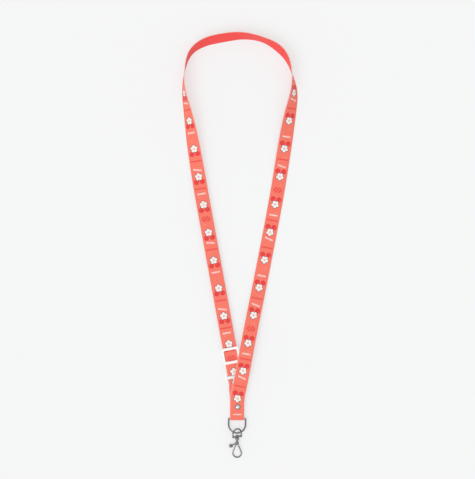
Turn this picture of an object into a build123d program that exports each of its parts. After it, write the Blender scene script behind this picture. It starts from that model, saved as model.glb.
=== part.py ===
"""Neck lanyard with an adjustable strap and a swivel trigger hook, lying flat on a surface.

+X runs across the loop, +Y from the hook towards the neck, +Z up. The origin is under the middle
of the whole lanyard, on the surface that it lies on. All sizes are in millimetres.
"""

import os
from math import acos, asin, atan2, ceil, cos, degrees, pi, radians, sin, sqrt, tan

from build123d import *

os.makedirs("parts", exist_ok=True)

# webbing
strap_width = 15.0
strap_thick = 0.9
ply_gap = 0.04  # between plies that lie on each other
wrap_gap = 0.05  # between a ply and the bar that it wraps
half_ply = strap_thick / 2
stack_pitch = strap_thick + ply_gap

# rectangular strap ring, which joins the left leg to the short strap
ring_middle = (-4.2, -136.9)
leg_lean = 10.34  # degrees that the left leg leans away from +Y
ring_height = 11.2
ring_bar = 2.8
ring_rail = 2.5
ring_mid_bar = 2.5
ring_mid_drop = 0.15  # the middle bar's top, under the frame's top
ring_thick = 2.35
side_gap = 0.15  # between the webbing's edge and a frame's rail

# three-bar slider
slider_height = 17.0
slider_outer_bar = 2.8
slider_mid_bar = 2.4
slider_rail = 1.35  # beside the webbing
slider_lip = 2.3  # each side of the window that the leg shows through
slider_bar_thick = 1.5
slider_up_leg = 22.6  # from the ring's middle to the slider's middle, up the leg
slide_gap = 0.1
loop_gap = 0.05  # between the sewn loop's upper ply and the leg that slides over it
tail_length = 14.6  # the sewn tail, from the slider's middle towards the ring

# riveted joint and D-ring
tail_x = -1.9  # the line of the rivet, D-ring and hook
bar_y = -180.1
rivet_place = (-1.1, -167.8)
rivet_radius = 2.85
rivet_shank = 1.1
rivet_hole_gap = 0.06
rivet_seat_gap = 0.05
rivet_back_thick = 0.8
rivet_cap_height = 1.2
rivet_flange_thick = 0.3
rivet_flange_share = 0.58  # of the cap's radius
rivet_pocket_share = 0.62
rivet_bottom_z = 0.25
d_wire = 1.8
d_half_width = strap_width / 2 + 1.25  # to the middle of the wire
d_side = 6.2  # from the bar to the middle of the round end
d_corner = 1.1

# bail, which hangs on the D-ring, rolled so that the D-ring passes between its legs
bail_wire = 1.5
bail_half_width = 4.95
bail_above_ring = 3.1  # from the crossing to the arch's top
bail_base_drop = 5.1  # from the crossing to the middle of the base
bail_base_thick = 1.6
bail_base_depth = 2.6
bail_roll = 30.0
crossing_z = 4.16

# swivel pin and hook
swivel_radius = 1.0
swivel_gap = 0.06
swivel_head_radius = 1.7
swivel_head_thick = 0.9
collar_radius = 2.0
collar_length = 2.6
neck_radius = 1.2
pivot_drop = 12.0  # from the crossing to the gate's pin
boss_radius = 1.9
boss_thick = 3.0
slot_thick = 1.6
hook_wire = 1.5
eye_drop = 22.6  # from the crossing to the middle of the eye's round end
eye_radius = 4.4
branch_top = (1.25, -14.1)

# gate, pin and spring
pin_radius = 0.5
pin_gap = 0.05
gate_thick = 0.95
gate_wide = 1.0
gate_reach = 11.9  # from the pin to the gate's end
gate_end_gap = 0.15
tang_radius = 1.35
spring_wire = 0.26
thumb_middle = (-6.4, -14.9)
thumb_size = (4.0, 3.4, 2.6)

# moves the layout so that the origin is under the whole lanyard's middle
to_origin = (-0.7, 0.2, 0.1)

# heights of the plies
floor_ply_z = half_ply + 0.05
ring_z = floor_ply_z + half_ply + wrap_gap + ring_thick / 2
leg_z = ring_z + ring_thick / 2 + wrap_gap + half_ply
loop_z = leg_z - strap_thick - loop_gap
mid_bar_z = (loop_z + floor_ply_z) / 2
mid_bar_thick = loop_z - floor_ply_z - strap_thick - 2 * wrap_gap
slider_top_z = leg_z + half_ply + slide_gap + slider_bar_thick
d_fold = max(d_wire / 2 + wrap_gap + half_ply, 1.5 * stack_pitch)
back_z = rivet_back_thick + 0.1 + half_ply
bar_z = back_z + d_fold
front_z = bar_z + d_fold
frame_inner = strap_width + 2 * side_gap
leg = Plane(
    origin=(*ring_middle, 0),
    x_dir=(cos(radians(leg_lean)), sin(radians(leg_lean)), 0),
    z_dir=(0, 0, 1),
)


def up_leg(along, height):
    """A point on the left leg's middle line, a distance up from the ring's middle."""
    spot = leg.from_local_coords((0, along, height))
    return (spot.X, spot.Y, spot.Z)


def corner_radius(points, i):
    """The largest easy arc at a corner: 0.45 of the shorter run over the tangent of half the turn."""
    before = Vector(*points[i]) - Vector(*points[i - 1])
    after = Vector(*points[i + 1]) - Vector(*points[i])
    half_turn = radians(before.get_angle(after)) / 2
    return 0.45 * min(before.length, after.length) / tan(half_turn)


def rounded_line(points, radii):
    """Stations (place, direction) along straight runs joined by tangent arcs, with each point's station."""
    places = [Vector(*p) for p in points]
    stations = [(places[0], (places[1] - places[0]).normalized())]
    marks = [0]
    for i in range(1, len(places) - 1):
        back = (places[i - 1] - places[i]).normalized()
        ahead = (places[i + 1] - places[i]).normalized()
        turn = pi - radians(back.get_angle(ahead))
        radius = radii[i]
        start = places[i] + back * (radius * tan(turn / 2))
        centre = places[i] + (back + ahead).normalized() * (radius / cos(turn / 2))
        steps = max(2, 2 * ceil(turn / radians(24)))
        marks.append(len(stations) + steps // 2)
        for k in range(steps + 1):
            part = turn * k / steps
            arm = start - centre
            place = centre + arm * cos(part) - back * (radius * sin(part))
            heading = back * -cos(part) - arm * (sin(part) / radius)
            stations.append((place, heading.normalized()))
    marks.append(len(stations))
    stations.append((places[-1], (places[-1] - places[-2]).normalized()))
    return stations, marks


def station_rolls(stations, marks, rolls):
    """Each station's roll in degrees, changing evenly from one route point to the next."""
    travelled = [0.0]
    for (a, _), (b, _) in zip(stations, stations[1:]):
        travelled.append(travelled[-1] + (b - a).length)
    found = []
    for i, here in enumerate(travelled):
        k = max(j for j in range(len(marks) - 1) if marks[j] <= i)
        low, high = travelled[marks[k]], travelled[marks[k + 1]]
        found.append(rolls[k] + (rolls[k + 1] - rolls[k]) * (here - low) / (high - low))
    return found, travelled[-1]


def ribbon(name, route, tight=()):
    """Webbing along a route of (x, y, z, roll). A positive roll lifts the edge on the right of travel."""
    points = [p[:3] for p in route]
    radii = [0.0] * len(points)
    for i in range(1, len(points) - 1):
        radii[i] = dict(tight).get(i) or corner_radius(points, i)
    stations, marks = rounded_line(points, radii)
    rolls, length = station_rolls(stations, marks, [p[3] for p in route])
    across = stations[0][1].cross(Vector(0, 0, 1)).normalized()
    sections = []
    for (place, heading), roll in zip(stations, rolls):
        level = heading.cross(Vector(0, 0, 1))
        if abs(heading.Z) < 0.5:
            across = level.normalized() * (1 if level.dot(across) > 0 else -1)
        else:
            across = (across - heading * across.dot(heading)).normalized()
        turned = across.rotate(Axis((0, 0, 0), heading), -roll)
        plane = Plane(origin=place, x_dir=turned, z_dir=heading)
        sections.append(plane * Rectangle(strap_width, strap_thick))
    solid = loft(sections, ruled=True)
    share = solid.volume / (length * strap_width * strap_thick)
    print(f"{name}: {length:.1f} mm long, volume {share:.3f} of section times length,")
    print("  radii", ", ".join(f"{r:.1f}" for r in radii[1:-1]), flush=True)
    return solid


def rivet_hole():
    """The hole through every ply of the joint."""
    radius = rivet_shank + rivet_hole_gap
    return Pos(*rivet_place, 0) * Cylinder(radius, 30)


def make_neck_strap():
    """From behind the ring's top bar up the left leg, round the neck, down and round the D-ring."""
    fold_r = (leg_z - floor_ply_z) / 2
    fold = ring_height / 2 - ring_bar + ring_thick / 2 - fold_r
    over_slider = slider_top_z + 0.1 + half_ply
    over_leg = leg_z + stack_pitch + 0.15
    flat = floor_ply_z
    route = [
        (*up_leg(7.2, floor_ply_z), 0),
        (*up_leg(fold, floor_ply_z), 0),
        (*up_leg(fold, leg_z), 0),
        (*up_leg(197.2, leg_z), 0),
        (-46.3, 98.6, 4.2, 21),
        (-52.3, 136.0, 6.1, 43),
        (-57.8, 162.0, 7.5, 71),
        (-56.0, 186.0, 7.6, 92),
        (-50.4, 201.0, 7.4, 105),
        (-36.0, 211.0, 6.7, 120),
        (-14.0, 215.6, 6.5, 123),
        (5.0, 217.6, 6.7, 119),
        (25.0, 213.6, 7.3, 108),
        (41.5, 204.6, 7.0, 115),
        (51.8, 191.5, 7.4, 104),
        (56.0, 174.0, 7.6, 83),
        (57.4, 157.5, 6.9, 57),
        (52.2, 132.0, 4.2, 31),
        (46.8, 98.0, 1.6, 7),
        (38.6, 46.0, flat, 0),
        (22.3, -38.0, flat + 0.4, 0),
        (9.3, -102.0, over_slider, 0),
        (5.2, -125.5, over_slider, 0),
        (2.9, -137.0, over_leg + 0.2, 0),
        (0.9, -147.0, over_leg, 0),
        (tail_x, -159.5, front_z, 0),
        (tail_x, bar_y - d_fold, front_z, 0),
        (tail_x, bar_y - d_fold, back_z, 0),
        (tail_x, -163.0, back_z, 0),
    ]
    tight = {1: fold_r * 0.99, 2: fold_r * 0.99, 26: d_fold * 0.99, 27: d_fold * 0.99}
    return ribbon("neck strap", route, tight) - rivet_hole()


def make_short_strap():
    """One length folded round the ring's bottom bar, its two ends held between the joint's plies."""
    fold_r = (leg_z - floor_ply_z) / 2
    fold = -(ring_height / 2 - ring_bar + ring_thick / 2 - fold_r)
    low, high = back_z + (front_z - back_z) / 3, back_z + 2 * (front_z - back_z) / 3
    ends = bar_y + d_wire / 2 + 0.8
    route = [
        (tail_x, ends, low, 0),
        (tail_x, -158.5, low, 0),
        (-3.1, -149.0, low - 1.2, 0),
        (*up_leg(-7.6, floor_ply_z), 0),
        (*up_leg(fold, floor_ply_z), 0),
        (*up_leg(fold, leg_z), 0),
        (*up_leg(-7.6, leg_z), 0),
        (-3.1, -149.0, high + 0.4, 0),
        (tail_x, -158.5, high, 0),
        (tail_x, ends, high, 0),
    ]
    tight = {4: fold_r * 0.99, 5: fold_r * 0.99}
    return ribbon("short strap", route, tight) - rivet_hole()


def make_sewn_end():
    """The strap's far end: up behind the leg, round the slider's middle bar and back on itself."""
    here = slider_up_leg
    fold_r = (loop_z - floor_ply_z) / 2
    fold = here + slider_mid_bar / 2 - mid_bar_thick / 2 + fold_r
    tail_z = floor_ply_z + stack_pitch
    route = [
        (*up_leg(7.4, floor_ply_z), 0),
        (*up_leg(fold, floor_ply_z), 0),
        (*up_leg(fold, loop_z), 0),
        (*up_leg(here - 2.0, loop_z), 0),
        (*up_leg(here - 6.0, tail_z), 0),
        (*up_leg(here - tail_length, tail_z), 0),
    ]
    tight = {1: fold_r * 0.99, 2: fold_r * 0.99}
    return ribbon("sewn end", route, tight)


def make_tail_stitch():
    """Zigzag bar tack through the tail and the ply under it: one thread bar for each pass."""
    passes = 12
    pass_pitch = 0.42
    tack_width = strap_width - 3.0
    thread = 0.3
    top_z = floor_ply_z + stack_pitch + half_ply
    bars = []
    for i in range(passes):
        along = slider_up_leg - tail_length + 2.0 + i * pass_pitch
        bar = Box(tack_width, thread, top_z + thread / 2 - floor_ply_z + half_ply / 2)
        bars.append(leg * Pos(0, along, (top_z + thread / 2 + floor_ply_z - half_ply / 2) / 2) * bar)
    return Compound(children=bars)


def plan_frame(width, height, corner, thick, z):
    return Pos(0, 0, z) * extrude(RectangleRounded(width, height, corner), thick / 2, both=True)


def make_slider():
    """Moulded three-bar slider: a frame over the leg, and a middle bar under it between low rails."""
    width = frame_inner + 2 * slider_rail
    low = mid_bar_z - mid_bar_thick / 2
    frame_low = slider_top_z - slider_bar_thick
    frame_z = slider_top_z - slider_bar_thick / 2
    block = plan_frame(width, slider_height, 2.4, slider_bar_thick, frame_z)
    window_height = slider_height - 2 * slider_outer_bar
    block -= plan_frame(width - 2 * slider_lip, window_height, 0.9, slider_bar_thick + 1, frame_z)
    block = fillet(block.edges().group_by(Axis.Z)[-1], 0.45)
    rail_depth = frame_low - low + 0.3
    rail_length = slider_height - 3.6
    for side in (-1, 1):
        rail = Box(slider_rail, rail_length, rail_depth)
        rail = fillet(rail.edges().filter_by(Axis.Z), 0.5)
        block += Pos(side * (frame_inner + slider_rail) / 2, 0, low + rail_depth / 2) * rail
    bar = Box(frame_inner + 0.4, slider_mid_bar, mid_bar_thick)
    bar = fillet(bar.edges().filter_by(Axis.X), mid_bar_thick / 2 - 0.02)
    block += Pos(0, 0, mid_bar_z) * bar
    return leg * Pos(0, slider_up_leg, 0) * block


def make_strap_ring():
    """Moulded rectangular ring: outer bars for the two folds, and a plain bar between them."""
    width = frame_inner + 2 * ring_rail
    opening = ring_height - 2 * ring_bar
    ring = plan_frame(width, ring_height, 2.6, ring_thick, ring_z)
    ring -= plan_frame(frame_inner, opening, side_gap, ring_thick + 1, ring_z)
    ring = fillet(ring.edges().filter_by(Axis.Z, reverse=True), ring_thick / 2 - 0.05)
    bar_thick = ring_thick - 2 * ring_mid_drop
    bar = Box(frame_inner + 0.6, ring_mid_bar, bar_thick)
    bar = fillet(bar.edges().filter_by(Axis.X), 0.6)
    ring += Pos(0, 0, ring_z) * bar
    return leg * ring


def make_rivet_cap():
    """Domed cap over the flange."""
    base = front_z + half_ply + rivet_seat_gap
    dome_r = (rivet_radius**2 + rivet_cap_height**2) / (2 * rivet_cap_height)
    dome = Pos(0, 0, rivet_cap_height - dome_r) * Sphere(dome_r)
    dome &= Pos(0, 0, rivet_cap_height / 2) * Cylinder(rivet_radius, rivet_cap_height)
    pocket = Cylinder(rivet_radius * rivet_pocket_share, 2 * (rivet_flange_thick + rivet_hole_gap))
    return Pos(*rivet_place, base) * (dome - pocket)


def make_rivet_post():
    """Hollow shank with a flange under the cap, clenched behind the back washer."""
    top = front_z + half_ply + rivet_seat_gap
    bottom = rivet_bottom_z
    shank = Pos(0, 0, (top + bottom) / 2) * Cylinder(rivet_shank, top - bottom)
    flange_radius = rivet_radius * rivet_flange_share
    flange = Pos(0, 0, top + rivet_flange_thick / 2) * Cylinder(flange_radius, rivet_flange_thick)
    bore = Pos(0, 0, bottom) * Cylinder(rivet_shank * 0.5, 3.0)
    return Pos(*rivet_place, 0) * (shank + flange - bore)


def make_rivet_back():
    """Dished washer on the back ply, level with the surface the lanyard lies on."""
    washer = Pos(0, 0, rivet_back_thick / 2) * Cylinder(rivet_radius, rivet_back_thick)
    washer = fillet(washer.edges().sort_by(Axis.Z)[0], 0.5)
    hole = rivet_shank + rivet_hole_gap
    washer -= Pos(0, 0, rivet_back_thick / 2) * Cylinder(hole, rivet_back_thick + 1)
    return Pos(*rivet_place, 0.04) * washer


def d_ring_frame():
    """The D-ring's own frame: its bar along X at the origin, tilted up to meet the bail."""
    reach = d_crossing()
    tilt = degrees(asin((crossing_z - bar_z) / reach))
    return Pos(tail_x, bar_y, bar_z) * Rot(-tilt, 0, 0), reach, tilt


def d_crossing():
    """How far from the bar the wire crosses the bail's legs."""
    legs = bail_half_width * cos(radians(bail_roll))
    return d_side + sqrt(d_half_width**2 - legs**2)


def make_d_ring():
    """Welded wire D: straight bar in the fold, straight sides and a round end."""
    half, side, corner = d_half_width, -d_side, d_corner
    bar = Line((-half + corner, 0), (half - corner, 0))
    right = JernArc(bar @ 1, (1, 0), corner, -90)
    down = Line(right @ 1, (half, side))
    end = JernArc(down @ 1, (0, -1), half, -180)
    up = Line(end @ 1, (-half, -corner))
    left = JernArc(up @ 1, (0, 1), corner, -90)
    path = Wire([bar, right, down, end, up, left])
    section = Plane(origin=bar @ 0.5, z_dir=bar % 0.5) * Circle(d_wire / 2)
    return d_ring_frame()[0] * sweep(section, path=path, transition=Transition.RIGHT)


def hook_frame():
    """The hook's own frame: origin at the crossing, -Y along the hook down to the surface."""
    where, reach, tilt = d_ring_frame()
    cross_y = bar_y - reach * cos(radians(tilt))
    drop = eye_drop + eye_radius
    pitch = degrees(asin((crossing_z - hook_wire / 2 - 0.03) / drop))
    return Pos(tail_x, cross_y, crossing_z) * Rot(pitch, 0, 0), cross_y, pitch


def make_bail():
    """Cast bail: a round arch on two legs, and a flat base with the swivel's hole."""
    half = bail_half_width
    arch_y = bail_above_ring - half
    arch = JernArc((-half, arch_y), (0, 1), half, -180)
    left = Line((-half, -bail_base_drop), arch @ 0)
    right = Line(arch @ 1, (half, -bail_base_drop))
    path = Wire([left, arch, right])
    section = Plane(origin=left @ 0, z_dir=left % 0) * Circle(bail_wire / 2)
    loop = sweep(section, path=path)
    base = Pos(0, -bail_base_drop, 0) * Box(2 * half, bail_base_thick, bail_base_depth)
    base = fillet(base.edges().filter_by(Axis.X), 0.5)
    boss = Rot(90, 0, 0) * Cylinder(bail_wire / 2 + 0.15, bail_base_thick + 0.3)
    bail = loop + base
    for side in (-1, 1):
        bail += Pos(side * half, -bail_base_drop, 0) * boss
    hole = Rot(90, 0, 0) * Cylinder(swivel_radius + swivel_gap, 6)
    bail -= Pos(0, -bail_base_drop, 0) * hole
    return hook_frame()[0] * Rot(0, bail_roll, 0) * bail


def swivel_tops():
    """Y of the pin head's underside and of the collar's top, each a running gap off the base."""
    top = -bail_base_drop + bail_base_thick / 2 + swivel_gap
    bottom = -bail_base_drop - bail_base_thick / 2 - 0.15 - swivel_gap
    return top, bottom


def make_swivel_pin():
    """Headed pin through the base, pressed into the collar."""
    top, bottom = swivel_tops()
    length = top - bottom + collar_length * 0.8
    shank = Pos(0, top - length / 2, 0) * Rot(90, 0, 0) * Cylinder(swivel_radius, length)
    head = Rot(90, 0, 0) * Cylinder(swivel_head_radius, swivel_head_thick)
    head = fillet(head.edges().sort_by(Axis.Y)[-1], 0.5)
    return hook_frame()[0] * (shank + Pos(0, top + swivel_head_thick / 2, 0) * head)


def branch_line():
    """The right branch: straight from under the boss, then round the eye to the nose."""
    centre = Vector(0, -eye_drop)
    start = Vector(*branch_top)
    reach = start - centre
    angle = atan2(reach.Y, reach.X) - acos(eye_radius / reach.length)
    touch = centre + Vector(cos(angle), sin(angle)) * eye_radius
    heading = (touch - start).normalized()
    root = Line(start - heading * 2.4, touch)
    nose_turn = degrees(angle) + 180 - 5
    bend = JernArc(touch, heading, eye_radius, -nose_turn)
    return root, bend


def make_hook_body():
    """Cast hook: collar on the swivel pin, neck, slotted boss for the gate, and the open eye."""
    bottom = swivel_tops()[1]
    collar = Rot(90, 0, 0) * Cylinder(collar_radius, collar_length)
    collar = fillet(collar.edges().filter_by(GeomType.CIRCLE), 0.9)
    body = Pos(0, bottom - collar_length / 2, 0) * collar
    neck_top = bottom - collar_length + 0.6
    neck_length = neck_top + pivot_drop - boss_radius / 2
    body += Pos(0, neck_top - neck_length / 2, 0) * Rot(90, 0, 0) * Cylinder(neck_radius, neck_length)
    boss = Cylinder(boss_radius, boss_thick)
    boss = fillet(boss.edges().filter_by(GeomType.CIRCLE), 0.35)
    body += Pos(0, -pivot_drop, 0) * boss
    root, bend = branch_line()
    path = Wire([root, bend])
    section = Plane(origin=root @ 0, z_dir=root % 0) * Circle(hook_wire / 2)
    body += sweep(section, path=path)
    body -= Pos(-1.6, -pivot_drop - 0.6, 0) * Box(6.1, 4.2, slot_thick)
    around = Pos(0, -pivot_drop, 0) * Cylinder(gate_reach + gate_end_gap, 10)
    body -= around & Pos(-5.0, -eye_drop, 0) * Box(4.0, 8.0, 8)
    body -= Pos(0, -pivot_drop, 0) * Cylinder(pin_radius, boss_thick + 2)
    top = swivel_tops()[0]
    length = top - bottom + collar_length * 0.8
    body -= Pos(0, top - length / 2, 0) * Rot(90, 0, 0) * Cylinder(swivel_radius, length)
    return hook_frame()[0] * body


def make_gate_pin():
    """Straight pin across the boss, flush with both cheeks."""
    return hook_frame()[0] * Pos(0, -pivot_drop, 0) * Cylinder(pin_radius, boss_thick)


def gate_plate_z():
    """The gate fills one side of the slot, and the spring the other."""
    return -slot_thick / 2 + 0.05 + gate_thick / 2


def make_gate():
    """Flat gate with its thumb lever: tang on the pin, arm to the nose, rounded thumb pad."""
    level = gate_plate_z()
    tang = Cylinder(tang_radius, gate_thick)
    centre = Vector(0, -eye_drop)
    start = Vector(-branch_top[0] - 0.2, branch_top[1])
    reach = start - centre
    angle = atan2(reach.Y, reach.X) + acos(eye_radius / reach.length)
    touch = centre + Vector(cos(angle), sin(angle)) * eye_radius
    heading = (touch - start).normalized()
    bend = JernArc(touch, heading, eye_radius, 34)
    pivot = Vector(0, -pivot_drop)
    pieces = [
        Pos(0, -pivot_drop, 0) * Circle(tang_radius),
        slot_shape(pivot + Vector(-0.75, -0.6), start, gate_wide * 1.1),
        slot_shape(start, touch, gate_wide),
        trace(bend, gate_wide * 1.15),
        slot_shape(pivot + Vector(-0.4, 0.2), Vector(-4.9, -14.2), 1.35),
    ]
    outline = Sketch() + pieces
    gate = extrude(outline, gate_thick / 2, both=True)
    gate &= Pos(0, -pivot_drop, 0) * Cylinder(gate_reach, 10)
    pad = Box(*thumb_size)
    pad = fillet(pad.edges().filter_by(Axis.Z), 1.2)
    pad = fillet(pad.edges().filter_by(Axis.Z, reverse=True), 0.7)
    ridge_gap = 0.8
    for i in (-1, 0, 1):
        for side in (-1, 1):
            groove = Box(0.3, thumb_size[1] - 1.0, 0.3)
            pad -= Pos(i * ridge_gap, 0, side * thumb_size[2] / 2) * groove
    gate = Pos(0, 0, level) * gate + Pos(*thumb_middle, level) * pad
    gate -= Pos(0, -pivot_drop, 0) * Cylinder(pin_radius + pin_gap, 10)
    return hook_frame()[0] * gate


def slot_shape(start, end, width):
    """A round-ended bar in plan between two points."""
    run = end - start
    lean = degrees(atan2(run.Y, run.X))
    return Location(tuple((start + end) / 2), (0, 0, lean)) * SlotCenterToCenter(run.length, width)


def make_gate_spring():
    """Two-turn torsion spring round the pin, with one leg on the gate's arm."""
    wire = spring_wire
    coil_r = pin_radius + pin_gap + wire / 2 + 0.08
    free = slot_thick - 0.05 - gate_thick
    low = -slot_thick / 2 + 0.05 + gate_thick + 0.02
    turn = Torus(coil_r, wire / 2)
    pitch = min(wire, free - wire - 0.04)
    spring = Pos(0, 0, low + wire / 2) * turn + Pos(0, 0, low + wire / 2 + pitch * 0.9) * turn
    leg_rod = Rot(90, 0, 0) * Cylinder(wire / 2 - 0.005, 2.0)
    spring += Pos(-coil_r, -1.0, low + wire / 2) * leg_rod
    return hook_frame()[0] * Pos(0, -pivot_drop, 0) * spring


makers = {
    "neck_strap": make_neck_strap,
    "short_strap": make_short_strap,
    "sewn_end": make_sewn_end,
    "tail_stitch": make_tail_stitch,
    "slider": make_slider,
    "strap_ring": make_strap_ring,
    "rivet_cap": make_rivet_cap,
    "rivet_post": make_rivet_post,
    "rivet_back": make_rivet_back,
    "d_ring": make_d_ring,
    "bail": make_bail,
    "swivel_pin": make_swivel_pin,
    "hook_body": make_hook_body,
    "gate": make_gate,
    "gate_pin": make_gate_pin,
    "gate_spring": make_gate_spring,
}
for node, make in makers.items():
    export_step(Pos(*to_origin) * make(), f"parts/{node}.step")


def report_axes():
    """Prints the joint axes: a point on each, and its direction."""
    placed = Pos(*to_origin)
    hook, _, pitch = hook_frame()
    for name, frame, point, axis in (
        ("slider", Pos(), up_leg(slider_up_leg, leg_z), tuple(leg.y_dir)),
        ("d_ring", Pos(), (tail_x, bar_y, bar_z), (1, 0, 0)),
        ("bail", hook, (0, 0, 0), (1, 0, 0)),
        ("swivel", hook, (0, -bail_base_drop, 0), (0, 1, 0)),
        ("gate", hook, (0, -pivot_drop, 0), (0, 0, 1)),
        ("eye", hook, (0, -eye_drop, 0), (0, 0, 1)),
    ):
        start = (placed * frame * Pos(*point)).position
        end = (placed * frame * Pos(*(Vector(*point) + Vector(*axis)))).position
        print(name, [round(v, 4) for v in start], [round(v, 5) for v in end - start])


report_axes()
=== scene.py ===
import math
import bpy
from mathutils import Matrix, Vector


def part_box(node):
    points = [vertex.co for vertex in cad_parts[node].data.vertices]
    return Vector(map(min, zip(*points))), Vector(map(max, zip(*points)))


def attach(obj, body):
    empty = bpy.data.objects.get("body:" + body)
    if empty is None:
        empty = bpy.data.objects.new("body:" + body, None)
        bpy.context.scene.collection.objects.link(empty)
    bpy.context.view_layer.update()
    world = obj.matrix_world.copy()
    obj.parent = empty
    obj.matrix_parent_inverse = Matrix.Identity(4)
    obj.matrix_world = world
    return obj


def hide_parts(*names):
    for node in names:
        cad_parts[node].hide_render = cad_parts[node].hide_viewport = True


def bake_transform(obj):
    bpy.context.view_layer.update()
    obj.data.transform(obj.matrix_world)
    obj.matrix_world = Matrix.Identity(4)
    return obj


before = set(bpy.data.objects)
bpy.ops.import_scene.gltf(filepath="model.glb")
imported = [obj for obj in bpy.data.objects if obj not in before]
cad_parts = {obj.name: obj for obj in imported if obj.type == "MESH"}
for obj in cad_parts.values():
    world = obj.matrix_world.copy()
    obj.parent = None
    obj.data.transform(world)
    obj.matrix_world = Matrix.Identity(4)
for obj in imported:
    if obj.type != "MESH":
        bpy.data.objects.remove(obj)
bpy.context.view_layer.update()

scene = bpy.context.scene


def deselectAll():
    for thing in bpy.context.selected_objects:
        thing.select_set(False)


# camera, light and floor
view = {"middle": (-0.0022, 0.0059), "height": 1.661, "lens": 120.0}
light = {
    "key": 0.9,
    "spread": 40.0,
    "from": (-0.42, -0.42, 0.81),
    "colour": (1.0, 0.99, 0.975),
    "sky": (0.82, 0.83, 0.835),
    "side": (0.69, 0.695, 0.705),
    "brightest": (-0.18, 0.12, 0.97),  # where the sky is palest
    "sidePlace": 0.56,
    "skyPlace": 0.86,
}
floorColour = (0.915, 0.918, 0.918)
floorSize = 6.0
plainShare = 0.65  # how much of the floor is plain background to the eye and in reflections

deselectAll()
bpy.ops.object.camera_add(location=(*view["middle"], view["height"]), rotation=(0, 0, 0))
camera = bpy.context.object
camera.name = "camera"
camera.data.lens = view["lens"]
camera.data.clip_end = 20
scene.camera = camera
scene.view_settings.view_transform = "Standard"

deselectAll()
aim = Vector(light["from"]).to_track_quat("Z", "Y").to_euler()
bpy.ops.object.light_add(type="SUN", location=light["from"], rotation=aim)
sun = bpy.context.object
sun.name = "keyLight"
sun.data.energy = light["key"]
sun.data.angle = math.radians(light["spread"])
sun.data.color = light["colour"]


# node helpers
def addNode(tree, kind, inputs=None, **settings):
    made = tree.nodes.new(kind)
    for name, value in settings.items():
        setattr(made, name, value)
    for name, value in (inputs or {}).items():
        if isinstance(value, bpy.types.NodeSocket):
            tree.links.new(value, made.inputs[name])
        else:
            made.inputs[name].default_value = value
    return made


def calc(tree, operation, *values, clamp=False):
    made = tree.nodes.new("ShaderNodeMath")
    made.operation = operation
    made.use_clamp = clamp
    for slot, value in enumerate(values):
        if isinstance(value, bpy.types.NodeSocket):
            tree.links.new(value, made.inputs[slot])
        else:
            made.inputs[slot].default_value = value
    return made.outputs[0]


def paint(tree, mask, below, above):
    made = addNode(tree, "ShaderNodeMix", data_type="RGBA")
    for slot, value in ((0, mask), (6, below), (7, above)):
        if isinstance(value, bpy.types.NodeSocket):
            tree.links.new(value, made.inputs[slot])
        else:
            made.inputs[slot].default_value = (*value, 1) if slot else value
    return made.outputs[2]


def steps(tree, value, stops):
    made = addNode(tree, "ShaderNodeValToRGB", {"Fac": value})
    made.color_ramp.interpolation = "CONSTANT"
    ramp = made.color_ramp.elements
    while len(ramp) < len(stops):
        ramp.new(0.5)
    for stop, (start, level) in zip(ramp, stops):
        stop.position = start
        stop.color = (level, level, level, 1)
    return made.outputs["Color"]


def startGroup(name, inputs, outputs):
    group = bpy.data.node_groups.new(name, "ShaderNodeTree")
    for label, value in inputs.items():
        socket = group.interface.new_socket(label, in_out="INPUT", socket_type="NodeSocketFloat")
        socket.default_value = value
    for label in outputs:
        group.interface.new_socket(label, in_out="OUTPUT", socket_type="NodeSocketFloat")
    return group, addNode(group, "NodeGroupInput").outputs, addNode(group, "NodeGroupOutput").inputs


def useGroup(tree, group, **values):
    made = addNode(tree, "ShaderNodeGroup", node_tree=group)
    for name, value in values.items():
        if isinstance(value, bpy.types.NodeSocket):
            tree.links.new(value, made.inputs[name])
        else:
            made.inputs[name].default_value = value
    return made.outputs


edgeCrispness = 6.0  # how sharply a printed edge ends, per millimetre

# a round or petalled spot, in millimetres along and across the webbing
spotInputs = {"along": 0, "across": 0, "placeAlong": 0, "placeAcross": 0, "radius": 1, "petal": 0, "rim": 0.3}
spotMark, given, result = startGroup("spotMark", spotInputs, ["fill", "rimMask"])
dx = calc(spotMark, "SUBTRACT", given["along"], given["placeAlong"])
dy = calc(spotMark, "SUBTRACT", given["across"], given["placeAcross"])
square = calc(spotMark, "ADD", calc(spotMark, "MULTIPLY", dx, dx), calc(spotMark, "MULTIPLY", dy, dy))
away = calc(spotMark, "SQRT", square)
turn = calc(spotMark, "MULTIPLY", calc(spotMark, "ARCTAN2", dy, dx), 2.5)  # five petals
lobe = calc(spotMark, "SUBTRACT", 1.0, calc(spotMark, "ABSOLUTE", calc(spotMark, "COSINE", turn)))
cut = calc(spotMark, "SUBTRACT", 1.0, calc(spotMark, "MULTIPLY", lobe, given["petal"]))
inside = calc(spotMark, "SUBTRACT", calc(spotMark, "MULTIPLY", given["radius"], cut), away)
withRim = calc(spotMark, "ADD", inside, given["rim"])
spotMark.links.new(calc(spotMark, "MULTIPLY_ADD", inside, edgeCrispness, 0.5, clamp=True), result["fill"])
spotMark.links.new(calc(spotMark, "MULTIPLY_ADD", withRim, edgeCrispness, 0.5, clamp=True), result["rimMask"])

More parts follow.
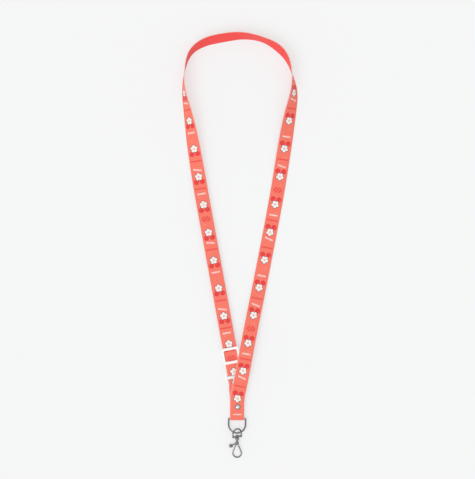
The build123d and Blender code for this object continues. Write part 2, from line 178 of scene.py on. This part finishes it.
# a straight bar, leaning by a slope
barInputs = {
    "along": 0, "across": 0, "placeAlong": 0, "placeAcross": 0,
    "halfAlong": 1, "halfAcross": 1, "slope": 0,
}
barMark, given, result = startGroup("barMark", barInputs, ["fill"])
dy = calc(barMark, "SUBTRACT", given["across"], given["placeAcross"])
level = calc(barMark, "SUBTRACT", given["along"], given["placeAlong"])
dx = calc(barMark, "SUBTRACT", level, calc(barMark, "MULTIPLY", dy, given["slope"]))
insideX = calc(barMark, "SUBTRACT", given["halfAlong"], calc(barMark, "ABSOLUTE", dx))
insideY = calc(barMark, "SUBTRACT", given["halfAcross"], calc(barMark, "ABSOLUTE", dy))
inside = calc(barMark, "MINIMUM", insideX, insideY)
barMark.links.new(calc(barMark, "MULTIPLY_ADD", inside, edgeCrispness, 0.5, clamp=True), result["fill"])

# fine twill of the webbing: height of the threads and a small change of tone
weaveGrain, given, result = startGroup("weaveGrain", {"along": 0, "across": 0, "pitch": 0.5}, ["height", "tone"])
leaning = calc(weaveGrain, "ADD", given["along"], calc(weaveGrain, "MULTIPLY", given["across"], 0.6))
rib = calc(weaveGrain, "DIVIDE", leaning, given["pitch"])
pick = calc(weaveGrain, "DIVIDE", given["across"], calc(weaveGrain, "MULTIPLY", given["pitch"], 0.8))
ribWave = calc(weaveGrain, "SINE", calc(weaveGrain, "MULTIPLY", rib, math.tau))
pickWave = calc(weaveGrain, "SINE", calc(weaveGrain, "MULTIPLY", pick, math.tau))
flowAlong = calc(weaveGrain, "MULTIPLY", given["along"], 0.35)
flowAcross = calc(weaveGrain, "MULTIPLY", given["across"], 2.2)
flow = addNode(weaveGrain, "ShaderNodeCombineXYZ", {"X": flowAlong, "Y": flowAcross})
streak = addNode(weaveGrain, "ShaderNodeTexNoise", {"Vector": flow.outputs[0], "Scale": 1.0, "Detail": 3.0})
loose = calc(weaveGrain, "MULTIPLY", streak.outputs["Fac"], 0.6)
raised = calc(weaveGrain, "MULTIPLY_ADD", ribWave, 0.35, calc(weaveGrain, "MULTIPLY_ADD", pickWave, 0.25, loose))
weaveGrain.links.new(raised, result["height"])
weaveGrain.links.new(calc(weaveGrain, "MULTIPLY_ADD", raised, 0.09, 0.93), result["tone"])

# cast and moulded surfaces: soft unevenness, fine grain and handling marks
grainInputs = {"coarse": 300, "fine": 3000}
surfaceGrain, given, result = startGroup("surfaceGrain", grainInputs, ["height", "smudge", "grain"])
where = addNode(surfaceGrain, "ShaderNodeTexCoord").outputs["Object"]
soft = addNode(surfaceGrain, "ShaderNodeTexNoise", {"Vector": where, "Scale": given["coarse"], "Detail": 2.0})
fine = addNode(surfaceGrain, "ShaderNodeTexNoise", {"Vector": where, "Scale": given["fine"], "Detail": 4.0})
softHeight, fineHeight = soft.outputs["Fac"], fine.outputs["Fac"]
surfaceGrain.links.new(calc(surfaceGrain, "MULTIPLY_ADD", fineHeight, 0.35, softHeight), result["height"])
surfaceGrain.links.new(calc(surfaceGrain, "MULTIPLY_ADD", softHeight, 2.4, -0.7, clamp=True), result["smudge"])
surfaceGrain.links.new(fineHeight, result["grain"])
print("groups made")


def startMaterial(name, **sockets):
    material = bpy.data.materials.new(name)
    material.use_nodes = True
    tree = material.node_tree
    shader = tree.nodes["Principled BSDF"]
    for label, value in sockets.items():
        shader.inputs[label.replace("_", " ")].default_value = value
    return material, tree, shader


def addBump(tree, shader, height, strength, distance):
    bump = addNode(tree, "ShaderNodeBump", {"Height": height, "Strength": strength, "Distance": distance})
    tree.links.new(bump.outputs[0], shader.inputs["Normal"])


# webbing materials: millimetres along and across come from each ribbon's own map
webbing = {
    "front": (0.985, 0.192, 0.132),
    "reverse": (0.995, 0.078, 0.072),
    # painted shade: this darker red is laid round one shoulder of the reverse and stands in for shade there
    "shoulderShadeRed": (0.78, 0.025, 0.045),
    "selvedge": (0.93, 0.72, 0.67),
    "white": (0.95, 0.92, 0.9),
    "red": (0.86, 0.042, 0.042),
    "darkRed": (0.2, 0.025, 0.06),
    "yellow": (0.98, 0.72, 0.3),
    "sparkle": (1.0, 0.5, 0.32),
    "cell": 29.35,
    "cells": 5,
    "firstMotif": 157.0,
    "neckFrom": 300.0,  # the print runs a little closer over this stretch
    "neckRun": 170.0,
    "neckShift": 13.3,
    "lastPrint": 836.0,  # nothing is printed past the fold round the ring
}
weavePitch = 0.5

# the print in one cell, in millimetres from its blossom; places that differ from cell to cell are shares of 30
printed = {
    "blossomShare": 0.32,  # how far into its cell the blossom sits
    "placeScale": 30.0,
    "warmFront": (0.99, 0.23, 0.165),
    "sparkles": ((8.6, 2.4, 0.9), (-9.6, -4.3, 0.7), (20.6, -3.6, 0.75)),  # along, across, size
    "sparkleHalf": 0.14,
    "lines": ((0.0, 0.0), (0.2, 0.56), (0.4, 0.545), (0.6, 0.0), (0.8, 0.38)),
    "dashes": ((0.0, 0.0), (0.2, 0.38), (0.4, 0.235), (0.6, 0.56), (0.8, 0.615)),
    "dashLean": ((0.0, 0.5), (0.2, 0.5), (0.4, 0.62), (0.6, 0.5), (0.8, 0.6)),
    "dashPitch": 1.3,
    "blockPlace": 14.2,
    "cherryRed": (0.55, 0.03, 0.04),
}


def ribbonMap(tree):
    uv = addNode(tree, "ShaderNodeUVMap", uv_map="ribbonMap")
    parts = addNode(tree, "ShaderNodeSeparateXYZ", {0: uv.outputs[0]}).outputs
    return calc(tree, "MULTIPLY", parts[0], 1000.0), calc(tree, "MULTIPLY", parts[1], 1000.0)


def finishCloth(tree, shader, colour, along, across):
    weave = useGroup(tree, weaveGrain, along=along, across=across, pitch=weavePitch)
    toned = addNode(tree, "ShaderNodeMix", data_type="RGBA", blend_type="MULTIPLY")
    toned.inputs[0].default_value = 1.0
    tree.links.new(colour, toned.inputs[6])
    tree.links.new(weave["tone"], toned.inputs[7])
    tree.links.new(toned.outputs[2], shader.inputs["Base Color"])
    tree.links.new(calc(tree, "MULTIPLY_ADD", weave["height"], -0.12, 0.6), shader.inputs["Roughness"])
    addBump(tree, shader, weave["height"], 0.45, 0.00012)


def selvedgeMask(tree, across):
    past = calc(tree, "SUBTRACT", calc(tree, "ABSOLUTE", across), 7.15)
    return calc(tree, "MULTIPLY_ADD", past, 5.0, 0.5, clamp=True)


def drifting(tree, detail, **axes):
    flow = addNode(tree, "ShaderNodeCombineXYZ", axes)
    noise = addNode(tree, "ShaderNodeTexNoise", {"Vector": flow.outputs[0], "Scale": 1.0, "Detail": detail})
    return noise.outputs["Fac"]


def makeFrontCloth(name, firstMotif):
    w, d = webbing, printed
    material, tree, shader = startMaterial(name, Sheen_Weight=0.05, Sheen_Roughness=0.4, Specular_IOR_Level=0.35)
    along, across = ribbonMap(tree)

    def times(*values):
        return calc(tree, "MULTIPLY", *values)

    behindNeck = calc(tree, "DIVIDE", calc(tree, "SUBTRACT", along, w["neckFrom"]), w["neckRun"], clamp=True)
    start = calc(tree, "SUBTRACT", along, firstMotif - d["blossomShare"] * w["cell"])
    share = calc(tree, "DIVIDE", calc(tree, "MULTIPLY_ADD", behindNeck, w["neckShift"], start), w["cell"])
    cell = calc(tree, "FLOORED_MODULO", calc(tree, "FLOOR", share), float(w["cells"]))
    here = calc(tree, "SUBTRACT", times(calc(tree, "FRACT", share), w["cell"]), d["blossomShare"] * w["cell"])
    which = calc(tree, "DIVIDE", calc(tree, "ADD", cell, 0.5), float(w["cells"]))
    spots = {"along": here, "across": across}

    def bar(**values):
        return useGroup(tree, barMark, **spots, **values)["fill"]

    def spot(**values):
        return useGroup(tree, spotMark, **spots, **values)

    shade = drifting(tree, 1.0, X=times(along, 0.02))
    colour = paint(tree, times(shade, 0.35), w["front"], d["warmFront"])
    for placeAlong, placeAcross, size in d["sparkles"]:  # four-pointed
        place = {"placeAlong": placeAlong, "placeAcross": placeAcross}
        upright = bar(**place, halfAlong=size, halfAcross=d["sparkleHalf"])
        level = bar(**place, halfAlong=d["sparkleHalf"], halfAcross=size)
        colour = paint(tree, times(calc(tree, "MAXIMUM", upright, level), 0.8), colour, w["sparkle"])
    # wavy red line across
    linePlace = steps(tree, which, d["lines"])
    ripple = calc(tree, "SINE", times(across, 2.4))
    wave = calc(tree, "MULTIPLY_ADD", ripple, 0.3, times(linePlace, d["placeScale"]))
    line = bar(placeAlong=wave, halfAlong=0.62, halfAcross=6.0)
    line = times(line, calc(tree, "GREATER_THAN", linePlace, 0.1))
    colour = paint(tree, times(line, 0.85), colour, w["red"])
    # chequered red block
    block = bar(placeAlong=d["blockPlace"], halfAlong=2.8, halfAcross=4.5)
    fromBlock = calc(tree, "SUBTRACT", here, d["blockPlace"])
    checkAlong = calc(tree, "COSINE", times(fromBlock, math.pi / 1.9))
    checkAcross = calc(tree, "COSINE", times(across, math.pi / 1.8))
    block = times(block, calc(tree, "MULTIPLY_ADD", times(checkAlong, checkAcross), 6.0, 1.4, clamp=True))
    block = times(block, calc(tree, "LESS_THAN", cell, 0.5))
    colour = paint(tree, times(block, 0.8), colour, w["red"])
    # row of short white stitches
    dashPlace = steps(tree, which, d["dashes"])
    slope = calc(tree, "MULTIPLY_ADD", steps(tree, which, d["dashLean"]), 2.0, -1.0)
    strip = bar(placeAlong=times(dashPlace, d["placeScale"]), halfAlong=0.85, halfAcross=4.4, slope=slope)
    comb = calc(tree, "SINE", times(across, math.tau / d["dashPitch"]))
    gap = calc(tree, "MULTIPLY_ADD", comb, 3.0, 1.6, clamp=True)
    strip = times(times(strip, gap), calc(tree, "GREATER_THAN", dashPlace, 0.1))
    colour = paint(tree, times(strip, 0.9), colour, w["white"])
    # two cherries on their stems, and a blossom over them
    for side in (-1, 1):
        stem = bar(placeAlong=-3.2, placeAcross=side * 1.9, halfAlong=0.3, halfAcross=1.5, slope=-side * 0.9)
        colour = paint(tree, stem, colour, w["darkRed"])
        cherry = spot(placeAlong=-5.4, placeAcross=side * 3.1, radius=2.45, rim=0.35)
        glint = spot(placeAlong=-4.7, placeAcross=side * 3.1 + 0.7, radius=0.45)["fill"]
        colour = paint(tree, times(cherry["rimMask"], 0.55), colour, d["cherryRed"])
        colour = paint(tree, cherry["fill"], colour, w["red"])
        colour = paint(tree, times(glint, 0.6), colour, w["front"])
    blossom = spot(radius=4.0, petal=0.34, rim=0.55)
    heart = spot(radius=0.75, rim=0.28)
    colour = paint(tree, blossom["rimMask"], colour, w["darkRed"])
    colour = paint(tree, blossom["fill"], colour, w["white"])
    colour = paint(tree, heart["rimMask"], colour, w["red"])
    colour = paint(tree, heart["fill"], colour, w["yellow"])
    colour = paint(tree, calc(tree, "GREATER_THAN", along, w["lastPrint"]), colour, w["front"])
    colour = paint(tree, times(selvedgeMask(tree, across), 0.8), colour, w["selvedge"])
    finishCloth(tree, shader, colour, along, across)
    return material


def makePlainCloth(name, base, deep, edgeShare):
    material, tree, shader = startMaterial(name, Sheen_Weight=0.05, Sheen_Roughness=0.4, Specular_IOR_Level=0.3)
    along, across = ribbonMap(tree)
    shade = drifting(tree, 2.0, X=calc(tree, "MULTIPLY", along, 0.02), Y=calc(tree, "MULTIPLY", across, 0.1))
    colour = paint(tree, calc(tree, "MULTIPLY_ADD", shade, 1.6, -0.3, clamp=True), base, deep)
    rise = calc(tree, "DIVIDE", calc(tree, "SUBTRACT", along, 470.0), 45.0, clamp=True)  # painted shade: darker red round one shoulder, where the strap turns on edge
    fall = calc(tree, "DIVIDE", calc(tree, "SUBTRACT", 590.0, along), 30.0, clamp=True)
    shoulderShadeMask = calc(tree, "MULTIPLY", calc(tree, "MULTIPLY", rise, fall), 0.9)
    # painted shade: the shoulder of the reverse is mixed towards the darker red
    colour = paint(tree, shoulderShadeMask, colour, webbing["shoulderShadeRed"])
    colour = paint(tree, calc(tree, "MULTIPLY", selvedgeMask(tree, across), edgeShare), colour, webbing["selvedge"])
    finishCloth(tree, shader, colour, along, across)
    return material


frontCloth = makeFrontCloth("frontCloth", webbing["firstMotif"])
shortFrontCloth = makeFrontCloth("shortFrontCloth", 44.0)
reverseCloth = makePlainCloth("reverseCloth", webbing["reverse"], (0.93, 0.085, 0.075), 0.6)
selvedgeCloth = makePlainCloth("selvedgeCloth", webbing["selvedge"], (0.95, 0.66, 0.6), 0.0)
print("webbing finishes made")


# ribbons along their smooth lines
ribbon = {"width": 0.015, "thick": 0.0009, "fineness": 22}
originShift = Vector((-0.7, 0.2, 0.1))  # the route's own places, moved as the solids are
heights = {
    "floor": 0.5, "leg": 3.85, "loop": 2.9, "overSlider": 6.45,
    "overLeg": 4.94, "front": 4.17, "back": 1.35, "tail": 1.44,
}


def upLeg(along, height, roll=0):
    return (-4.2 - 0.17949 * along, -136.9 + 0.98376 * along, height, roll)


def smoothLine(points):
    data = bpy.data.curves.new("line", "CURVE")
    data.dimensions = "3D"
    spline = data.splines.new("NURBS")
    spline.points.add(len(points) - 1)
    for spot, point in zip(spline.points, points):
        spot.co = (*point, 1)
    spline.order_u = 3
    spline.use_endpoint_u = True
    spline.resolution_u = ribbon["fineness"]
    thing = bpy.data.objects.new("line", data)
    scene.collection.objects.link(thing)
    bpy.context.view_layer.update()
    mesh = bpy.data.meshes.new_from_object(thing)
    found = [v.co.copy() for v in mesh.vertices]
    bpy.data.objects.remove(thing)
    bpy.data.meshes.remove(mesh)
    return found


def ribbonFrames(route):
    line = smoothLine([(Vector(p[:3]) + originShift) / 1000 for p in route])
    rolls = [p.x for p in smoothLine([(p[3] / 1000, 0, 0) for p in route])]
    kept = [0]
    for i, point in enumerate(line):
        if (point - line[kept[-1]]).length > 0.00004:
            kept.append(i)
    line, rolls = [line[i] for i in kept], [rolls[i] * 1000 for i in kept]
    frames, run, left = [], 0.0, None
    for i, point in enumerate(line):
        if i:
            run += (point - line[i - 1]).length
        heading = (line[min(i + 1, len(line) - 1)] - line[max(i - 1, 0)]).normalized()
        level = heading.cross(Vector((0, 0, 1)))
        if left is None:
            left = level.normalized()
        elif abs(heading.z) < 0.5:
            left = level.normalized() * (1 if level.dot(left) > 0 else -1)
        else:
            left = (left - heading * left.dot(heading)).normalized()
        side = Matrix.Rotation(math.radians(-rolls[i]), 3, heading) @ left
        frames.append((point, side, heading.cross(side), run))
    return frames


def ribbonSection():
    wide, thick = ribbon["width"] / 2, ribbon["thick"] / 2
    flat = [0.8 * wide * (1 - 2 * k / 6) for k in range(7)]
    top = [(wide, 0.0), (wide - 0.00007, thick * 0.62), (wide - 0.0003, thick * 0.95)]
    top += [(v, thick) for v in flat]
    top += [(-v, n) for v, n in reversed(top[1:3])]
    return top + [(-v, -n) for v, n in top]


def makeRibbon(name, route, cloths):
    frames = ribbonFrames(route)
    section = ribbonSection()
    count = len(section)
    spots = [point + side * v + up * n for point, side, up, run in frames for v, n in section]
    faces, maps, slots = [], [], []
    for i in range(len(frames) - 1):
        for k in range(count):
            j = (k + 1) % count
            faces.append((i * count + k, i * count + j, (i + 1) * count + j, (i + 1) * count + k))
            lap = [(frames[a][3], section[b][0]) for a, b in ((i, k), (i, j), (i + 1, j), (i + 1, k))]
            maps.append(lap)
            half = count // 2
            slots.append(2 if k % half in (0, half - 1) else (0 if k < half else 1))
    for i in (0, len(frames) - 1):
        ring = [i * count + k for k in range(count)]
        faces.append(tuple(ring if i else reversed(ring)))
        order = list(range(count)) if i else list(reversed(range(count)))
        maps.append([(frames[i][3], section[k][0]) for k in order])
        slots.append(2)
    mesh = bpy.data.meshes.new(name)
    mesh.from_pydata([tuple(s) for s in spots], [], faces)
    layer = mesh.uv_layers.new(name="ribbonMap")
    corner = 0
    for lap in maps:
        for pair in lap:
            layer.data[corner].uv = pair
            corner += 1
    for cloth in cloths:
        mesh.materials.append(cloth)
    mesh.polygons.foreach_set("material_index", slots)
    mesh.polygons.foreach_set("use_smooth", [True] * len(faces))
    thing = bpy.data.objects.new(name, mesh)
    scene.collection.objects.link(thing)
    deselectAll()
    thing.select_set(True)
    bpy.context.view_layer.objects.active = thing
    bpy.ops.object.mode_set(mode="EDIT")
    bpy.ops.mesh.select_all(action="SELECT")
    bpy.ops.mesh.normals_make_consistent(inside=False)
    bpy.ops.object.mode_set(mode="OBJECT")
    bpy.ops.object.shade_smooth_by_angle(angle=math.radians(50))
    thing.select_set(False)
    print(name, "runs", round(frames[-1][3], 4), "lowest", round(min(s.z for s in spots), 5))
    return thing, frames


h = heights
neckRoute = [
    upLeg(7.2, h["floor"]),
    upLeg(5.65, h["floor"]),
    upLeg(2.3, h["floor"]),
    upLeg(2.3, h["leg"]),
    upLeg(5.65, h["leg"]),
    upLeg(155.2, h["leg"]),  # straight as far as the slider travels
    upLeg(197.2, h["leg"]),
    (-46.3, 98.6, 4.2, 21),
    (-52.3, 136.0, 6.4, 51),
    (-57.8, 162.0, 7.5, 78),
    (-56.0, 186.0, 7.6, 92),
    (-50.4, 201.0, 7.4, 105),
    (-36.0, 211.0, 6.7, 120),
    (-14.0, 215.6, 6.65, 123),
    (5.0, 217.6, 6.95, 113),
    (25.0, 213.6, 7.3, 102),
    (41.5, 204.6, 7.0, 118),
    (51.8, 191.5, 7.4, 104),
    (56.0, 174.0, 7.6, 83),
    (57.4, 157.5, 6.9, 57),
    (52.2, 132.0, 4.2, 31),
    (46.8, 98.0, 1.6, 7),
    (38.6, 46.0, h["floor"], 0),
    (22.3, -38.0, h["floor"] + 0.4, 0),
    (9.9, -98.5, h["overSlider"] + 0.3, 0),
    (5.2, -125.5, h["overSlider"], 0),
    (2.9, -137.0, h["overLeg"] + 0.2, 0),
    (0.9, -147.0, h["overLeg"], 0),
    (-1.9, -159.5, h["front"], 0),
    (-1.9, -178.69, h["front"], 0),
    (-1.9, -181.51, h["front"], 0),
    (-1.9, -181.51, h["back"], 0),
    (-1.9, -178.69, h["back"], 0),
    (-1.9, -163.0, h["back"], 0),
]
neckStrap, neckFrames = makeRibbon("neckStrap", neckRoute, (frontCloth, reverseCloth, selvedgeCloth))
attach(neckStrap, "strap")
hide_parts("neck_strap")

low, high = 2.29, 3.23
shortRoute = [
    (-1.9, -178.4, low, 0),
    (-1.9, -158.5, low, 0),
    (-3.1, -149.0, low - 1.2, 0),
    upLeg(-7.6, h["floor"]),
    upLeg(-5.65, h["floor"]),
    upLeg(-2.3, h["floor"]),
    upLeg(-2.3, h["leg"]),
    upLeg(-5.65, h["leg"]),
    upLeg(-7.6, h["leg"]),
    (-3.1, -149.0, high + 0.4, 0),
    (-1.9, -158.5, high, 0),
    (-1.9, -178.4, high, 0),
]
shortStrap, shortFrames = makeRibbon("shortStrap", shortRoute, (shortFrontCloth, reverseCloth, selvedgeCloth))
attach(shortStrap, "strap")
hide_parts("short_strap")

sewnRoute = [
    upLeg(7.4, h["floor"]),
    upLeg(21.9, h["floor"]),
    upLeg(24.3, h["floor"]),
    upLeg(24.3, h["loop"]),
    upLeg(21.9, h["loop"]),
    upLeg(20.6, h["loop"]),
    upLeg(16.6, h["tail"]),
    upLeg(9.8, h["tail"]),
]
sewnEnd, sewnFrames = makeRibbon("sewnEnd", sewnRoute, (frontCloth, reverseCloth, selvedgeCloth))
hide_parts("sewn_end")
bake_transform(sewnEnd)
print("ribbons made")

# plastic, metal and thread finishes
plasticFinish, tree, shader = startMaterial("whitePlastic", Specular_IOR_Level=0.5)
grain = useGroup(tree, surfaceGrain, coarse=420.0, fine=3800.0)
white = paint(tree, calc(tree, "MULTIPLY", grain["smudge"], 0.35), (0.955, 0.945, 0.925), (0.93, 0.91, 0.88))
tree.links.new(white, shader.inputs["Base Color"])
tree.links.new(calc(tree, "MULTIPLY_ADD", grain["smudge"], 0.14, 0.26), shader.inputs["Roughness"])
addBump(tree, shader, grain["height"], 0.25, 0.00008)


def makeMetal(name, pale, dark, rough, uneven):
    material, tree, shader = startMaterial(name, Metallic=1.0)
    grain = useGroup(tree, surfaceGrain, coarse=uneven["coarse"], fine=uneven["fine"])
    plated = paint(tree, calc(tree, "MULTIPLY", grain["smudge"], 0.6), pale, dark)
    tree.links.new(plated, shader.inputs["Base Color"])
    tree.links.new(calc(tree, "MULTIPLY_ADD", grain["grain"], 0.16, rough), shader.inputs["Roughness"])
    addBump(tree, shader, grain["height"], uneven["strength"], uneven["depth"])
    return material


polished = {"coarse": 420.0, "fine": 4200.0, "strength": 0.12, "depth": 0.00006}
plating = {"coarse": 380.0, "fine": 5000.0, "strength": 0.2, "depth": 0.00008}
drawnWire = {"coarse": 900.0, "fine": 6000.0, "strength": 0.2, "depth": 0.00005}
greyMetal = makeMetal("greyMetal", (0.24, 0.24, 0.245), (0.13, 0.13, 0.135), 0.07, polished)
brightMetal = makeMetal("brightMetal", (0.86, 0.85, 0.83), (0.72, 0.71, 0.7), 0.06, plating)
springSteel = makeMetal("springSteel", (0.55, 0.55, 0.54), (0.42, 0.42, 0.42), 0.2, drawnWire)

# the rivet's cap is bright on its dome, with painted shade darkening it round its foot
capBox = [Vector(corner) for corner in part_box("rivet_cap")]
capMiddle = (capBox[0] + capBox[1]) / 2
capFinish, tree, shader = startMaterial("capFinish", Metallic=1.0)
grain = useGroup(tree, surfaceGrain, coarse=380.0, fine=5000.0)
place = addNode(tree, "ShaderNodeTexCoord").outputs["Object"]
spread = addNode(tree, "ShaderNodeVectorMath", {0: place, 1: capMiddle}, operation="SUBTRACT").outputs[0]
level = addNode(tree, "ShaderNodeVectorMath", {0: spread, 1: (1, 1, 0)}, operation="MULTIPLY").outputs[0]
reach = addNode(tree, "ShaderNodeVectorMath", {0: level}, operation="LENGTH").outputs["Value"]
reachShare = calc(tree, "DIVIDE", reach, (capBox[1].x - capBox[0].x) / 2)
# painted shade: a mask that rises from half the cap's radius out to its foot
footShadeMask = calc(tree, "DIVIDE", calc(tree, "SUBTRACT", reachShare, 0.5), 0.35, clamp=True)
bright = paint(tree, calc(tree, "MULTIPLY", grain["smudge"], 0.4), (0.66, 0.65, 0.635), (0.52, 0.51, 0.5))
# painted shade: dark grey laid over the cap towards its foot
footShadedColour = paint(tree, calc(tree, "MULTIPLY", footShadeMask, 0.9), bright, (0.17, 0.16, 0.155))
tree.links.new(footShadedColour, shader.inputs["Base Color"])
tree.links.new(calc(tree, "MULTIPLY_ADD", footShadeMask, 0.15, 0.28), shader.inputs["Roughness"])
addBump(tree, shader, grain["height"], 0.15, 0.00006)

threadFinish, tree, shader = startMaterial("thread", Sheen_Weight=0.2)
grain = useGroup(tree, surfaceGrain, coarse=2500.0, fine=9000.0)
spun = paint(tree, grain["smudge"], (0.85, 0.12, 0.1), (0.7, 0.07, 0.06))
tree.links.new(spun, shader.inputs["Base Color"])
addBump(tree, shader, grain["height"], 0.5, 0.0001)
shader.inputs["Roughness"].default_value = 0.65

finishes = {
    "slider": plasticFinish, "strap_ring": plasticFinish,
    "rivet_cap": capFinish, "rivet_post": brightMetal, "rivet_back": brightMetal,
    "d_ring": greyMetal, "bail": greyMetal, "swivel_pin": greyMetal, "hook_body": greyMetal,
    "gate": greyMetal, "gate_pin": greyMetal, "gate_spring": springSteel, "tail_stitch": threadFinish,
}
for node, finish in finishes.items():
    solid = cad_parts[node]
    for slot in solid.material_slots:
        slot.material = finish
    if not solid.material_slots:
        solid.data.materials.append(finish)
print("finishes placed")

# floor and surroundings: the eye, metal and clear things all see the same pale background
def backgroundRays(tree):
    rays = addNode(tree, "ShaderNodeLightPath").outputs
    eyeOrMetal = calc(tree, "MAXIMUM", rays["Is Camera Ray"], rays["Is Glossy Ray"])
    return calc(tree, "MAXIMUM", eyeOrMetal, rays["Is Transmission Ray"])


deselectAll()
bpy.ops.mesh.primitive_plane_add(size=floorSize, location=(0, 0, 0))
floor = bpy.context.object
floor.name = "floor"
floorFinish, tree, shader = startMaterial("floorFinish", Roughness=0.9, Specular_IOR_Level=0.1)
shader.inputs["Base Color"].default_value = (*floorColour, 1)
floor.data.materials.append(floorFinish)
pale = addNode(tree, "ShaderNodeEmission", {"Color": (*floorColour, 1), "Strength": 1.0})
lift = addNode(tree, "ShaderNodeMixShader", {0: calc(tree, "MULTIPLY", backgroundRays(tree), plainShare)})
tree.links.new(shader.outputs[0], lift.inputs[1])
tree.links.new(pale.outputs[0], lift.inputs[2])
tree.links.new(lift.outputs[0], tree.nodes["Material Output"].inputs["Surface"])

world = bpy.data.worlds.new("surroundings")
scene.world = world
world.use_nodes = True
tree = world.node_tree
back = tree.nodes["Background"]
direction = addNode(tree, "ShaderNodeTexCoord").outputs["Generated"]
facing = addNode(tree, "ShaderNodeVectorMath", {0: direction, 1: light["brightest"]}, operation="DOT_PRODUCT")
rise = facing.outputs["Value"]
ramp = addNode(tree, "ShaderNodeValToRGB", {"Fac": calc(tree, "MULTIPLY_ADD", rise, 0.5, 0.5)})
for stop, level in zip(ramp.color_ramp.elements, ("side", "sky")):
    stop.position = light[level + "Place"]
    stop.color = (*light[level], 1)
seen = paint(tree, backgroundRays(tree), ramp.outputs["Color"], floorColour)
tree.links.new(seen, back.inputs["Color"])
back.inputs["Strength"].default_value = 1.0
print("surroundings made")
